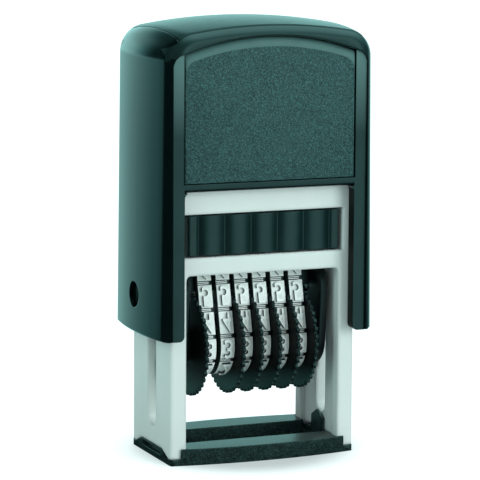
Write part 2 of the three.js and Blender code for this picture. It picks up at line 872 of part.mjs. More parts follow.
function bandOutline() {
  const outer = bandPath(bandOuterRadius, bandTopHalf, printFaceZ);
  const lastCell = cellCount / 2;
  const half = cellLength / 2;
  const first = bandTopHalf + bandCornerGap + half;
  const pitch = (outer.length - first) / (lastCell - 1);
  const front = [outer.at(half), outer.at(half, cellHeight)];
  for (let i = 1; i <= lastCell; i++) {
    const centre = first + pitch * (i - 1);
    front.push(outer.at(centre - half, cellHeight), outer.at(centre - half));
    if (i === lastCell) break;
    if (centre > outer.straightEnd) front.push(outer.at(centre));
    front.push(outer.at(centre + half), outer.at(centre + half, cellHeight));
  }
  front.push(outer.at(outer.length));
  const back = front.slice(0, -1).map(([y, z]) => [-y, z]);
  return [...front, ...back.reverse()];
}

function bandInner() {
  const inner = bandPath(
    bandOuterRadius - bandThickness,
    bandInnerTopHalf,
    printFaceZ - bandThickness,
  );
  const front = [inner.at(bandInnerTopHalf)];
  for (let i = 0; i <= bandArcSteps; i++) {
    const round = ((inner.length - inner.straightEnd) * i) / bandArcSteps;
    front.push(inner.at(inner.straightEnd + round));
  }
  const back = front.slice(0, -1).map(([y, z]) => [-y, z]);
  return [...front, ...back.reverse()];
}

function makeBand(x) {
  const shape = shapeOf(bandOutline());
  shape.holes.push(shapeOf(bandInner()));
  return alongX(shape, x - bandWidth / 2, x + bandWidth / 2);
}

function toothedDisc() {
  const points = [];
  const pitch = (2 * Math.PI) / toothCount;
  const root = wheelRadius - toothHeight;
  for (let i = 0; i < toothCount; i++) {
    const middle = pitch * i;
    const rootHalf = (pitch * (1 - toothRootShare)) / 2;
    const tipHalf = (pitch * toothTipShare) / 2;
    const corners = [[root, -rootHalf], [wheelRadius, -tipHalf], [wheelRadius, tipHalf], [root, rootHalf]];
    for (const [radius, turn] of corners) {
      points.push([radius * Math.cos(middle + turn), shaftZ + radius * Math.sin(middle + turn)]);
    }
  }
  return shapeOf(points);
}

// A thumb wheel is a toothed disc with a hub to one side, under its own band
function makeWheel(discX, hubSide) {
  const half = wheelThickness / 2;
  const disc = alongX(toothedDisc(), discX - half, discX + half);
  const hubEnd = discX + hubSide * (bandPitch - half - fitGap);
  const [x0, x1] = [discX, hubEnd].sort((a, b) => a - b);
  const hub = rodX(hubRadius, x0, x1, 0, shaftZ, boreSides);
  const bore = rodX(shaftRadius + fitGap, x0 - overrun, x1 + overrun, 0, shaftZ);
  return disc.add(hub).subtract(bore);
}

const palePlastic = { color: 0xc3d3cf, roughness: 0.45, metalness: 0 };
const capPlastic = { color: 0x16302f, roughness: 0.22, metalness: 0 };
const coverPlastic = { color: 0x1b3635, roughness: 0.28, metalness: 0 };
const panelPlastic = { color: 0x22403f, roughness: 0.6, metalness: 0 };
const footPlastic = { color: 0x14201f, roughness: 0.55, metalness: 0 };
const cassettePlastic = { color: 0x101a19, roughness: 0.4, metalness: 0 };
const inkFelt = { color: 0x1a1d26, roughness: 0.95, metalness: 0 };
const carrierPlastic = { color: 0x0e1514, roughness: 0.4, metalness: 0 };
const wheelPlastic = { color: 0x121b1a, roughness: 0.5, metalness: 0 };
const bandRubber = { color: 0xcad6d1, roughness: 0.65, metalness: 0 };
const steel = { color: 0xb4b8ba, roughness: 0.3, metalness: 1 };

function part(name, body, finish) {
  const mesh = new THREE.Mesh(geometryOf(body), new THREE.MeshStandardMaterial(finish));
  mesh.name = name;
  return mesh;
}

const machine = new THREE.Group();
const stand = new THREE.Group();
const cap = new THREE.Group();
const carrier = new THREE.Group();
machine.add(stand, cap);
cap.add(carrier);

stand.add(part("stand_frame", makeFrame(), palePlastic));
stand.add(part("base_foot", makeFoot(), footPlastic));
stand.add(part("return_spring", makeSpring(), steel));
stand.add(part("pad_cassette", makeCassette(), cassettePlastic));
stand.add(part("ink_pad", makePad(), inkFelt));

cap.add(part("cap_shell", makeCapShell(), capPlastic));
cap.add(part("top_cover", makeTopCover(), coverPlastic));
cap.add(part("front_panel", makePanel(), panelPlastic));
cap.add(part("rear_panel", turnedRound(makePanel()), panelPlastic));
cap.add(part("right_pivot_pin", makePivotPin(), carrierPlastic));
cap.add(part("left_pivot_pin", mirroredX(makePivotPin()), carrierPlastic));

carrier.add(part("right_cheek", makeCheek(), carrierPlastic));
carrier.add(part("left_cheek", mirroredX(makeCheek()), carrierPlastic));
carrier.add(part("band_bridge", makeBridge(), carrierPlastic));
carrier.add(part("setting_shaft", makeShaft(), steel));
carrier.add(part("band_spacer", makeSpacer(), carrierPlastic));
for (let i = 0; i < bandCount; i++) {
  const number = i + 1;
  const bandX = (i + 1 / 2 - bandCount / 2) * bandPitch;
  const discX = i ? bandX + bandPitch / 2 : bandX - bandPitch / 2;
  carrier.add(part("number_band_" + number, makeBand(bandX), bandRubber));
  carrier.add(part("thumb_wheel_" + number, makeWheel(discX, i ? -1 : 1), wheelPlastic));
}

export default machine;
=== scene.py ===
# Self-inking numbering machine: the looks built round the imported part. Metres, front is -Y, table at z = 0.
import math

import bmesh
import bpy
from mathutils import Matrix, Vector, noise


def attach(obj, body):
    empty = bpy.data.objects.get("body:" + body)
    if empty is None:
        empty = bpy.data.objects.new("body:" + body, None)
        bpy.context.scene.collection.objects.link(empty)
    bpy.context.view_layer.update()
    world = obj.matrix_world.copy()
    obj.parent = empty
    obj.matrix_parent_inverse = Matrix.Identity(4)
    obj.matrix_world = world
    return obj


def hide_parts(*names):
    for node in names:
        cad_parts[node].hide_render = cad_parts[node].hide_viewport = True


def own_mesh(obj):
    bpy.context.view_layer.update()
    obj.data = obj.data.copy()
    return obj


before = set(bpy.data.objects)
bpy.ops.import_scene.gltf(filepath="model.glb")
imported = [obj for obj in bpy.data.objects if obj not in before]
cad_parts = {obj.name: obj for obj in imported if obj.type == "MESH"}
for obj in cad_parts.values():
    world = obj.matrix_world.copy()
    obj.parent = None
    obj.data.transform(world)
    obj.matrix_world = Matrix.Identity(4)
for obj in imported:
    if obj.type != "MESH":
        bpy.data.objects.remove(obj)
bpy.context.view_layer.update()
print("frame loaded with", len(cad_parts), "nodes")

mm = 0.001  # the dictionaries below are in millimetres and degrees
metre = 1000  # a pattern's scale is this over its size in millimetres
reliefDepth = 0.05  # height of the finest grain
near = 0.01  # two places closer than this are the same
facing = 0.9  # a face looks along an axis when that much of its normal does
bandCount = 6


def linked(name, data):  # a new object in the scene
    made = bpy.data.objects.new(name, data)
    bpy.context.collection.objects.link(made)
    return made


# the camera comes first; sees is how far it sees, in metres
camera = {
    "place": (-180.568, -433.329, 108.730), "aim": (0.37911, 0.91304, -0.15045), "roll": 0.346,
    "lens": 202.5, "sensor": 36, "sees": 20,
}

aim = Vector(camera["aim"]).normalized()
levelRight = aim.cross(Vector((0, 0, 1))).normalized()
levelUp = levelRight.cross(aim)
roll = math.radians(camera["roll"])
right = levelRight * math.cos(roll) + levelUp * math.sin(roll)
up = levelUp * math.cos(roll) - levelRight * math.sin(roll)
eye = linked("eye", bpy.data.cameras.new("eye"))
eye.data.lens = camera["lens"]
eye.data.sensor_width = camera["sensor"]
eye.data.sensor_fit = "HORIZONTAL"
eye.data.clip_end = camera["sees"]
turn = Matrix((right, up, -aim)).transposed().to_4x4()
eye.matrix_world = Matrix.Translation(Vector(camera["place"]) * mm) @ turn
bpy.context.scene.camera = eye


def linear(hexColour):  # sRGB hex to the linear values that Blender wants
    channels = [int(hexColour[i:i + 2], 16) / 255 for i in (1, 3, 5)]
    return [c / 12.92 if c <= 0.04045 else ((c + 0.055) / 1.055) ** 2.4 for c in channels] + [1]


def addNode(tree, kind, settings={}, values={}, links={}, stops={}):
    node = tree.nodes.new(kind)
    for name, value in settings.items():
        setattr(node, name, value)
    for name, value in values.items():
        node.inputs[name].default_value = value
    for name, socket in links.items():
        tree.links.new(socket, node.inputs[name])
    for i, (position, colour) in enumerate(stops.items()):  # the colours along a ramp
        elements = node.color_ramp.elements
        element = elements[i] if i < len(elements) else elements.new(position)
        element.position = position
        element.color = linear(colour)
    return node


def newMaterial(name):
    material = bpy.data.materials.new(name)
    material.use_nodes = True
    material.node_tree.nodes.clear()
    return material, material.node_tree


def spread(start, end, steps):
    return [start + (end - start) * i / steps for i in range(steps + 1)]


def arc(cx, cy, radius, start, end, steps):
    return [(cx + radius * math.cos(a), cy + radius * math.sin(a)) for a in spread(start, end, steps)]


def circle(cx, cy, radius, sides):
    return arc(cx, cy, radius, 0, 2 * math.pi * (sides - 1) / sides, sides - 1)


def newObject(name, points, faces):  # points in millimetres
    mesh = bpy.data.meshes.new(name)
    mesh.from_pydata([Vector(p) * mm for p in points], [], faces)
    work = bmesh.new()
    work.from_mesh(mesh)
    bmesh.ops.recalc_face_normals(work, faces=work.faces)
    work.to_mesh(mesh)
    work.free()
    return linked(name, mesh)


def builtObject(name, work):  # an object with the mesh that was built in work
    mesh = bpy.data.meshes.new(name)
    work.to_mesh(mesh)
    work.free()
    return linked(name, mesh)


def carried(outline, axis, low, high):  # an outline carried along an axis, used to cut with
    place = {"X": (2, 0, 1), "Y": (0, 2, 1), "Z": (0, 1, 2)}[axis]
    count = len(outline)
    points = [[(a, b, level)[i] for i in place] for level in (low, high) for a, b in outline]
    sides = [(i, (i + 1) % count, count + (i + 1) % count, count + i) for i in range(count)]
    return newObject("cutter", points, [list(range(count)), list(range(count, 2 * count)), *sides])


def lofted(name, rings):  # each ring is (y, [(x, z), ...]), all of one length
    count = len(rings[0][1])
    points = [(x, y, z) for y, ring in rings for x, z in ring]
    faces = [list(range(count)), list(range(len(points) - count, len(points)))]
    for r in range(len(rings) - 1):
        for i in range(count):
            j = (i + 1) % count
            faces.append((r * count + i, r * count + j, (r + 1) * count + j, (r + 1) * count + i))
    return newObject(name, points, faces)


def carve(piece, cutters, operation="DIFFERENCE"):
    for cutter in cutters:
        step = piece.modifiers.new("carve", "BOOLEAN")
        step.operation = operation
        step.solver = "EXACT"
        step.object = cutter
    bpy.context.view_layer.update()
    carved = bpy.data.meshes.new_from_object(piece.evaluated_get(bpy.context.evaluated_depsgraph_get()))
    piece.modifiers.clear()
    piece.data = carved
    for cutter in cutters:
        bpy.data.objects.remove(cutter)


def dress(piece, name, material, body, slot, *nodes):
    piece.name = piece.data.name = name
    piece.data.materials.clear()
    piece.data.materials.append(material)
    piece.data.shade_smooth()
    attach(piece, body)
    if nodes:
        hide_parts(*nodes)
    return piece


def keepSharp(piece, angle):  # edges sharper than this stay crisp in a smooth shading
    piece.data.set_sharp_from_angle(angle=math.radians(angle))


# how the CAD shapes are cleaned, and how their edges are eased
moulding = {"weld": 0.002, "flat": 0.8, "corners": 4, "sharpEdge": 38, "segments": 2, "faceWeight": 60}


def easeEdges(piece, width):  # a moulding has no sharp edge: each one gets a small radius
    ease = piece.modifiers.new("ease", "BEVEL")
    ease.width = width * mm
    ease.segments = moulding["segments"]
    ease.limit_method = "ANGLE"
    ease.angle_limit = math.radians(moulding["sharpEdge"])
    ease.use_clamp_overlap = False
    piece.modifiers.new("even", "WEIGHTED_NORMAL").weight = moulding["faceWeight"]


def moulded(node, name, material, body, slot, edge):  # a CAD node's own shape, cleaned and with eased edges
    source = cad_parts[node]
    work = bmesh.new()
    work.from_mesh(source.data)
    work.transform(source.matrix_world)
    bmesh.ops.remove_doubles(work, verts=work.verts, dist=moulding["weld"] * mm)
    bmesh.ops.dissolve_limit(work, angle_limit=math.radians(moulding["flat"]), verts=work.verts, edges=work.edges)
    large = [face for face in work.faces if len(face.verts) > moulding["corners"]]
    bmesh.ops.triangulate(work, faces=large)  # a flat with a hole in it then shades clean
    piece = builtObject(name, work)
    easeEdges(piece, edge)
    return dress(piece, name, material, body, slot, node)


def mouldedPlastic(name, finish):
    material, tree = newMaterial(name)
    place = addNode(tree, "ShaderNodeTexCoord").outputs["Object"]
    drift = addNode(
        tree,
        "ShaderNodeTexNoise",
        values={"Scale": metre / finish["drift"], "Detail": 3},
        links={"Vector": place},
    )
    colour = addNode(
        tree,
        "ShaderNodeValToRGB",
        links={"Fac": drift.outputs["Fac"]},
        stops={0.35: finish["dark"], 0.65: finish["light"]},
    ).outputs["Color"]
    grain = addNode(
        tree,
        "ShaderNodeTexNoise",
        values={"Scale": metre / finish["grain"], "Detail": 2, "Roughness": 0.6},
        links={"Vector": place},
    )
    if "sparkle" in finish:  # pale flecks, one to a cell of the grain: painted glints
        flecks = addNode(
            tree,
            "ShaderNodeTexVoronoi",
            values={"Scale": metre / finish["fleck"], "Randomness": 1},
            links={"Vector": place},
        )
        pick = addNode(
            tree,
            "ShaderNodeValToRGB",
            links={"Fac": flecks.outputs["Color"]},
            stops={finish["fleckFrom"]: "#000000", finish["fleckTo"]: "#ffffff"},
        )
        colour = addNode(
            tree,
            "ShaderNodeMix",
            {"data_type": "RGBA"},
            {7: linear(finish["sparkle"])},
            {"Factor": pick.outputs["Color"], 6: colour},
        ).outputs[2]
    if "paintedLight" in finish:  # painted light: paler towards one end
        height = addNode(tree, "ShaderNodeSeparateXYZ", links={"Vector": place})
        paintedLightShare = addNode(
            tree,
            "ShaderNodeMapRange",
            values={"From Min": finish["paintedLightFrom"] * mm, "From Max": finish["paintedLightTo"] * mm},
            links={"Value": height.outputs["Z"]},
        )
        colour = addNode(
            tree,
            "ShaderNodeMix",
            {"data_type": "RGBA"},
            {7: linear(finish["paintedLight"])},
            {"Factor": paintedLightShare.outputs["Result"], 6: colour},
        ).outputs[2]
    rounded = addNode(tree, "ShaderNodeBevel", {"samples": 6}, {"Radius": finish["edge"] * mm})
    relief = addNode(
        tree,
        "ShaderNodeBump",
        values={"Strength": finish["relief"], "Distance": reliefDepth * mm},
        links={"Height": grain.outputs["Fac"], "Normal": rounded.outputs["Normal"]},
    )
    gloss = addNode(
        tree,
        "ShaderNodeMapRange",
        values={"To Min": finish["rough"] - finish["roughDrift"], "To Max": finish["rough"] + finish["roughDrift"]},
        links={"Value": grain.outputs["Fac"]},
    )
    shader = addNode(
        tree,
        "ShaderNodeBsdfPrincipled",
        values={"IOR": finish["ior"]},
        links={"Base Color": colour, "Roughness": gloss.outputs["Result"], "Normal": relief.outputs["Normal"]},
    )
    addNode(tree, "ShaderNodeOutputMaterial", links={"Surface": shader.outputs["BSDF"]})
    return material


# ABS, polished mould: a dark gloss with the faintest flow marks
glossAbs = mouldedPlastic("glossAbs", {
    "dark": "#030b0c", "light": "#050e0f", "drift": 9, "grain": 1.6, "relief": 0.02,
    "rough": 0.16, "roughDrift": 0.02, "ior": 1.54, "edge": 0.22,
})
# the same ABS on the separate top, where hands have dulled it a little; its paler colour is a painted sheen
paintedSheenAbs = mouldedPlastic("paintedSheenAbs", {
    "dark": "#112928", "light": "#162f2e", "drift": 7, "grain": 1.1, "relief": 0.03,
    "rough": 0.3, "roughDrift": 0.04, "ior": 1.54, "edge": 0.2,
})
# the same ABS in the flat of the recess, where the mould was left unpolished: satin, with a painted sheen that makes
# it paler than the gloss, and paler still towards the top
satinAbs = mouldedPlastic("satinAbs", {
    "dark": "#091f1f", "light": "#0d2626", "drift": 6, "grain": 0.5, "relief": 0.1,
    "rough": 0.42, "roughDrift": 0.04, "ior": 1.54, "edge": 0.2,
    "paintedLight": "#4e7471", "paintedLightFrom": 57, "paintedLightTo": 73,
})
# the same ABS inside the cap, dulled by the core of the mould: its low IOR keeps it nearly free of reflections
coredAbs = mouldedPlastic("coredAbs", {
    "dark": "#030c0c", "light": "#051010", "drift": 6, "grain": 0.5, "relief": 0.05,
    "rough": 0.5, "roughDrift": 0.04, "ior": 1.2, "edge": 0.2,
})
# the same ABS on the rounded lip over the panel, rubbed to a half gloss; its paler colour is a painted sheen
lipAbs = mouldedPlastic("lipAbs", {
    "dark": "#0b2120", "light": "#0f2726", "drift": 6, "grain": 0.6, "relief": 0.05,
    "rough": 0.3, "roughDrift": 0.04, "ior": 1.54, "edge": 0.2,
})
# ABS of the label panel, on its sloping edge: smooth, and lighter as a painted highlight of the light from above
bevelAbs = mouldedPlastic("bevelAbs", {
    "dark": "#3c5d5b", "light": "#436664", "drift": 6, "grain": 0.5, "relief": 0.06,
    "rough": 0.34, "roughDrift": 0.04, "ior": 1.54, "edge": 0.12,
})
# ABS from a spark-eroded mould, full of fine sparkle painted as pale flecks: the real grain of 0.1 mm is drawn at
# about 0.15 mm to show
sparkedAbs = mouldedPlastic("sparkedAbs", {
    "dark": "#0b2223", "light": "#0f2a2b", "drift": 5, "grain": 0.16, "relief": 0.4,
    "rough": 0.52, "roughDrift": 0.08, "ior": 1.54, "edge": 0.12,
    "sparkle": "#376261", "fleck": 0.14, "fleckFrom": 0.33, "fleckTo": 0.8,
})
# pale grey ABS, satin: soft sheen, no visible grain
paleAbs = mouldedPlastic("paleAbs", {
    "dark": "#c5d5d2", "light": "#cbdad7", "drift": 12, "grain": 0.5, "relief": 0.05,
    "rough": 0.42, "roughDrift": 0.04, "ior": 1.52, "edge": 0.9,
})
# black ABS of the foot: grained like the panel, with the same painted glints, but darker; its relief is drawn coarser
# still, at 0.25 mm
footAbs = mouldedPlastic("footAbs", {
    "dark": "#040e0d", "light": "#081615", "drift": 1.2, "grain": 0.25, "relief": 0.3,
    "rough": 0.36, "roughDrift": 0.05, "ior": 1.5, "edge": 0.12,
    "sparkle": "#304d4a", "fleck": 0.15, "fleckFrom": 0.5, "fleckTo": 0.95,
})
# polypropylene of the cassette: a waxy half gloss
cassettePp = mouldedPlastic("cassettePp", {
    "dark": "#061818", "light": "#0a1f1f", "drift": 3, "grain": 0.3, "relief": 0.25,
    "rough": 0.25, "roughDrift": 0.04, "ior": 1.56, "edge": 0.12,
})
# black POM of the carrier: slippery, with a low sheen
blackPom = mouldedPlastic("blackPom", {
    "dark": "#040b0a", "light": "#07100f", "drift": 3, "grain": 0.8, "relief": 0.06,
    "rough": 0.33, "roughDrift": 0.04, "ior": 1.48, "edge": 0.08,
})
# the same POM on the toothed rims of the wheels, a little greyer from handling
wheelPom = mouldedPlastic("wheelPom", {
    "dark": "#081413", "light": "#0c1c1b", "drift": 2, "grain": 0.5, "relief": 0.1,
    "rough": 0.34, "roughDrift": 0.05, "ior": 1.48, "edge": 0.06,
})
# the flat faces of the wheels, dulled by old ink, with painted shade: dark between the bands above, paler lower down
inkAndShadePom = mouldedPlastic("inkAndShadePom", {
    "dark": "#030908", "light": "#060f0e", "drift": 2, "grain": 0.5, "relief": 0.1,
    "rough": 0.55, "roughDrift": 0.05, "ior": 1.25, "edge": 0.06,
    "paintedLight": "#2a5350", "paintedLightFrom": 15.5, "paintedLightTo": 12,
})


def rubberOfBands(name, finish):  # moulded rubber, matt, inked where it has touched the pad
    material, tree = newMaterial(name)
    place = addNode(tree, "ShaderNodeTexCoord").outputs["Object"]
    mottle = addNode(
        tree,
        "ShaderNodeTexNoise",
        values={"Scale": metre / finish["mottle"], "Detail": 4},
        links={"Vector": place},
    )
    tint = addNode(
        tree,
        "ShaderNodeValToRGB",
        links={"Fac": mottle.outputs["Fac"]},
        stops={0.3: finish["dark"], 0.7: finish["light"]},
    )
    height = addNode(tree, "ShaderNodeSeparateXYZ", links={"Vector": place})
    inkAndShade = addNode(
        tree,
        "ShaderNodeMapRange",
        values={"From Min": finish["inkLow"] * mm, "From Max": finish["inkHigh"] * mm},
        links={"Value": height.outputs["Z"]},
    )
    colour = addNode(
        tree,
        "ShaderNodeMix",
        {"data_type": "RGBA"},
        {7: linear(finish["ink"])},
        {"Factor": inkAndShade.outputs["Result"], 6: tint.outputs["Color"]},
    )
    relief = addNode(
        tree,
        "ShaderNodeBump",
        values={"Strength": finish["relief"], "Distance": reliefDepth * mm},
        links={"Height": mottle.outputs["Fac"]},
    )
    shader = addNode(
        tree,
        "ShaderNodeBsdfPrincipled",
        values={"IOR": finish["ior"], "Roughness": finish["rough"]},
        links={"Base Color": colour.outputs[2], "Normal": relief.outputs["Normal"]},
    )
    addNode(tree, "ShaderNodeOutputMaterial", links={"Surface": shader.outputs["BSDF"]})
    return material


# pale rubber of the figures and cells, dark only at the printing face, which meets the pad
paleRubber = rubberOfBands("paleRubber", {
    "dark": "#dff3ee", "light": "#f0fffb", "mottle": 0.7, "relief": 0.15, "rough": 0.55, "ior": 1.52,
    "ink": "#1d2433", "inkLow": 35.85, "inkHigh": 36.1,
})
# the same rubber on the walls of the figures, in the gaps and on the flanks, which hold old ink; its dark colour is
# also painted shade
inkAndShadeRubber = rubberOfBands("inkAndShadeRubber", {
    "dark": "#263735", "light": "#3c4f4a", "mottle": 0.5, "relief": 0.15, "rough": 0.6, "ior": 1.52,
    "ink": "#1d2433", "inkLow": 35.85, "inkHigh": 36.1,
})


def metal(name, finish):  # a metal keeps the default IOR; fine marks break up its shine
    material, tree = newMaterial(name)
    place = addNode(tree, "ShaderNodeTexCoord").outputs["Object"]
    marks = addNode(
        tree,
        "ShaderNodeTexNoise",
        values={"Scale": metre / finish["marks"], "Detail": 3},
        links={"Vector": place},
    )
    gloss = addNode(
        tree,
        "ShaderNodeMapRange",
        values={"To Min": finish["rough"] - finish["roughDrift"], "To Max": finish["rough"] + finish["roughDrift"]},
        links={"Value": marks.outputs["Fac"]},
    )
    shader = addNode(
        tree,
        "ShaderNodeBsdfPrincipled",
        values={"Base Color": linear(finish["colour"]), "Metallic": 1},
        links={"Roughness": gloss.outputs["Result"]},
    )
    addNode(tree, "ShaderNodeOutputMaterial", links={"Surface": shader.outputs["BSDF"]})
    return material


# drawn spring wire and a ground rod: bright, the rod a little smoother
springSteel = metal("springSteel", {"colour": "#b9bdbf", "marks": 0.4, "rough": 0.27, "roughDrift": 0.07})
groundSteel = metal("groundSteel", {"colour": "#c2c5c6", "marks": 0.2, "rough": 0.22, "roughDrift": 0.07})


def feltOfPad(name, finish):  # wool felt full of ink: dark, with a fuzzy broken surface
    material, tree = newMaterial(name)
    place = addNode(tree, "ShaderNodeTexCoord").outputs["Object"]
    fibres = addNode(
        tree,
        "ShaderNodeTexNoise",
        values={"Scale": metre / finish["fibre"], "Detail": 6, "Roughness": 0.7},
        links={"Vector": place},
    )
    tint = addNode(
        tree,
        "ShaderNodeValToRGB",
        links={"Fac": fibres.outputs["Fac"]},
        stops={0.35: finish["dark"], 0.7: finish["light"]},
    )
    relief = addNode(
        tree,
        "ShaderNodeBump",
        values={"Strength": finish["relief"], "Distance": finish["nap"] * mm},
        links={"Height": fibres.outputs["Fac"]},
    )
    shader = addNode(
        tree,
        "ShaderNodeBsdfPrincipled",
        values={"Roughness": finish["rough"], "Sheen Weight": finish["sheen"], "Sheen Roughness": 0.5},
        links={"Base Color": tint.outputs["Color"], "Normal": relief.outputs["Normal"]},
    )
    addNode(tree, "ShaderNodeOutputMaterial", links={"Surface": shader.outputs["BSDF"]})
    return material


# a wool fibre is far too fine to show, so the tufts are drawn at 0.5 mm
inkedFelt = feltOfPad("inkedFelt", {
    "dark": "#0e1018", "light": "#262b3c", "fibre": 0.5, "relief": 0.9, "nap": 0.15, "rough": 0.85, "sheen": 0.4,
})
print("materials made:", len(bpy.data.materials))


# the cap is one lofted body, and everything else is cut from it
cap = {
    "half": 20.6, "front": 13.0, "face": 12.0, "sideArc": 60, "corner": 3, "draft": 0.5,
    "arch": 90, "shoulder": 5.5, "shoulderShrink": 0.6, "crest": 76.8, "dome": 88, "lipRound": 1.6,
    "foot": 22.2, "footChamfer": 0.35, "footRound": 1.2,
    "cavityHalf": 17.6, "cavityFront": 9.9, "cavityCorner": 0.8, "cavityTop": 70.4,
    "wellRadius": 6.7, "wellTop": 72.3, "wellSides": 48, "pivot": 28.9, "bore": 2.3, "boreSides": 40,
    "legHalf": 15.75, "windowTop": 47.75, "windowCorner": 1, "windowReach": 14,
    "recessHalf": 17.9, "recessArch": 46, "recessCorner": 2, "rimRound": 0.75, "rimFlare": 0.6,
    "lipLow": 74.1, "lipInner": 17.0, "lipEnd": 19.0, "lipBack": 9.0, "lipTop": 73.34, "lipFall": 0.626,
    "pocketHalf": 15.9, "pocketFloor": 49.15, "pocketDepth": 1.2, "pocketCorner": 0.3,
    "ledgeRound": 0.8, "ledgeSteps": 8, "ledgeSlack": 0.1,
    "coverHalf": 17.0, "coverEnd": 12.0, "coverFloor": 74.7, "coverArch": 60, "coverSteps": 24, "seam": 0.22,
    "sideSteps": 8, "cornerSteps": 18, "archSteps": 16, "outlineSteps": 10, "roundSteps": 6, "sharp": 26, "flat": 0.99,
}
clearBy = 1  # how far a cutter stands out of what it cuts


def archTop(half, crest, archRadius, shoulder, steps):  # from the right side over the crest to the left
    cx = half - shoulder
    reach = archRadius - shoulder
    cz = crest - archRadius + math.sqrt(reach ** 2 - cx ** 2)
    lean = math.asin(cx / reach)
    side = arc(cx, cz, shoulder, 0, math.pi / 2 - lean, steps)
    side += [(archRadius * math.sin(a), crest - archRadius * (1 - math.cos(a))) for a in spread(lean, 0, steps)[1:]]
    return side + [(-x, z) for x, z in side[-2::-1]]


def archedOutline(half, low, crest, archRadius, shoulder):
    return [(-half, low), (half, low)] + archTop(half, crest, archRadius, shoulder, cap["outlineSteps"])


def drawnBack(radius, y):  # how far an edge of that radius has rounded off at this depth
    into = min(max(0, abs(y) - cap["front"] + radius), radius)
    return radius - math.sqrt(radius ** 2 - into ** 2)


def capRing(half, y):
    crest = cap["crest"] - y ** 2 / (2 * cap["dome"]) - drawnBack(cap["lipRound"], y)
    shoulder = cap["shoulder"] - cap["shoulderShrink"] * (cap["half"] - half)
    low, chamfer = cap["foot"] + drawnBack(cap["footRound"], y), cap["footChamfer"]
    bottom = [(-half, low + chamfer), (-half + chamfer, low), (half - chamfer, low), (half, low + chamfer)]
    return y, bottom + archTop(half - cap["draft"], crest, cap["arch"], shoulder, cap["archSteps"])


def capBody(name):
    cornerY = cap["front"] - cap["corner"]
    inner = cap["sideArc"] - cap["corner"]
    cornerX = cap["half"] - cap["sideArc"] + math.sqrt(inner ** 2 - cornerY ** 2)
    start = math.asin(cornerY / inner)
    plan = []
    for a in spread(0, start, cap["sideSteps"]):
        plan.append((cap["half"] - cap["sideArc"] * (1 - math.cos(a)), cap["sideArc"] * math.sin(a)))
    plan += arc(cornerX, cornerY, cap["corner"], start, math.pi / 2, cap["cornerSteps"])[1:]
    plan = [(half, -y) for half, y in plan[:0:-1]] + plan
    return lofted(name, [capRing(half, y) for half, y in plan])


def coverRegion(gap):
    half, radius = cap["coverHalf"] - gap, cap["coverArch"]
    sweep = math.asin(half / radius)
    middle = cap["coverFloor"] + gap / 2 - radius
    low = arc(0, middle, radius, math.pi / 2 + sweep, math.pi / 2 - sweep, cap["coverSteps"])
    top = cap["crest"] + clearBy
    return carried([(-half, top), *low, (half, top)], "Y", gap - cap["coverEnd"], cap["coverEnd"] - gap)


def cavity():
    half, front, radius, steps = cap["cavityHalf"], cap["cavityFront"], cap["cavityCorner"], cap["roundSteps"]
    x, y, quarter = half - radius, front - radius, math.pi / 2
    outline = []
    for cx, cy, k in ((x, -y, -1), (x, y, 0), (-x, y, 1), (-x, -y, 2)):
        outline += arc(cx, cy, radius, k * quarter, (k + 1) * quarter, steps)
    return carried(outline, "Z", cap["foot"] - clearBy, cap["cavityTop"])


def springWell():
    outline = circle(0, 0, cap["wellRadius"], cap["wellSides"])
    return carried(outline, "Z", cap["cavityTop"] - clearBy, cap["wellTop"])


def pinBore():
    reach = cap["half"] + clearBy
    return carried(circle(0, cap["pivot"], cap["bore"], cap["boreSides"]), "X", -reach, reach)


def faceRecess(side):  # the rim's inner edge rolls over into the recess
    rings = []
    for turn in spread(0, math.pi / 2, cap["roundSteps"]):
        out = cap["face"] + (cap["front"] - cap["face"]) * math.sin(turn)
        rings.append((side * out, cap["rimRound"] * (1 - math.cos(turn))))
    rings.append((side * (cap["front"] + clearBy), cap["rimRound"] + cap["rimFlare"]))
    low, archRadius = cap["foot"] - clearBy, cap["recessArch"]
    made = []
    for y, grow in rings:
        half, crest, corner = cap["recessHalf"] + grow, cap["lipLow"] + grow / 2, cap["recessCorner"] + grow
        made.append((y, archedOutline(half, low, crest, archRadius, corner)))
    return lofted("cutter", made)


def panelPocket(side):
    half, low, corner = cap["pocketHalf"], cap["pocketFloor"], cap["pocketCorner"]
    outline = archedOutline(half, low, cap["lipLow"], cap["recessArch"], corner)
    ends = sorted((side * (cap["front"] + clearBy), side * (cap["face"] - cap["pocketDepth"])))
    return carried(outline, "Y", *ends)


def legWindow():  # the opening between the legs, whose feet are rounded off towards it
    radius, half, low, steps = cap["windowCorner"], cap["legHalf"], cap["foot"], cap["roundSteps"]
    top = arc(half - radius, cap["windowTop"] - radius, radius, 0, math.pi / 2, steps)
    foot = arc(half + radius, low + radius, radius, 1.5 * math.pi, math.pi, steps)
    edge = [(half + radius, low - clearBy), *foot, *top]
    return carried(edge + [(-x, z) for x, z in reversed(edge)], "Y", -cap["windowReach"], cap["windowReach"])


def ledgeEdge(side):  # the lower edge of the ledge under the panel is rounded off
    radius = cap["ledgeRound"]
    y, z = cap["face"] - radius, cap["windowTop"] + radius
    out, under = side * (cap["face"] + cap["ledgeSlack"]), cap["windowTop"] - cap["ledgeSlack"]
    ring = [(side * a, b) for a, b in arc(y, z, radius, -math.pi / 2, 0, cap["ledgeSteps"])]
    ring += [(out, z), (out, under), (side * y, under)]
    return carried(ring, "X", -cap["legHalf"], cap["legHalf"])


